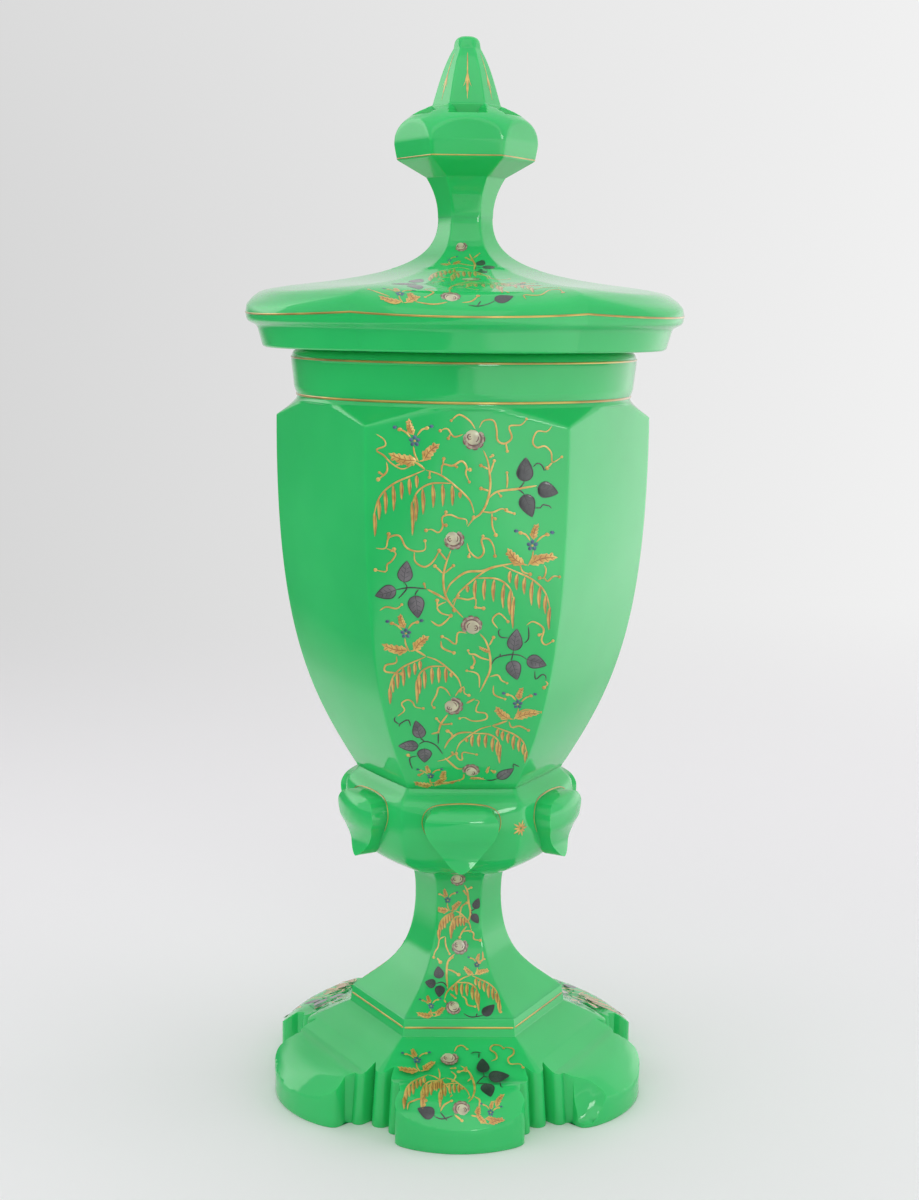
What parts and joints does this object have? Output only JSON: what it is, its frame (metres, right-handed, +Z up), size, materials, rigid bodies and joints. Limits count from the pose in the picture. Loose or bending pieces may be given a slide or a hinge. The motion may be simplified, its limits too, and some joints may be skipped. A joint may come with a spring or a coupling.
{
  "type": "covered vase",
  "caption": "Tall covered vase of milky green glass, cut to six sides, with a lobed foot, a collar of shield bosses and a lift-off cover with a knob and spire.",
  "frame": {"origin": "on the vase's upright axis, at the plane that the foot rests on", "axes": "+Z up along the axis, -Y towards the painted front face, +X to the viewer's right"},
  "size_m": [0.1744, 0.179, 0.43],
  "materials": {
    "opaline_glass": "milky green glass, fire-polished and cut, glossy",
    "gilding": "fired gold paint, slightly worn",
    "enamel": "raised opaque enamel, satin"
  },
  "bodies": {
    "vase": {"foot": "opaline_glass", "stem": "opaline_glass", "collar": "opaline_glass", "boss_front": "opaline_glass", "boss_front_right": "opaline_glass", "boss_back_right": "opaline_glass", "boss_back": "opaline_glass", "boss_back_left": "opaline_glass", "boss_front_left": "opaline_glass", "bowl": "opaline_glass"},
    "cover": {"cover": "opaline_glass", "finial": "opaline_glass"}
  },
  "joints": [
    {"name": "cover_lift", "type": "slide", "parent": "vase", "child": "cover", "axis": [0, 0, 1], "range_m": [0, 0.12]}
  ]
}
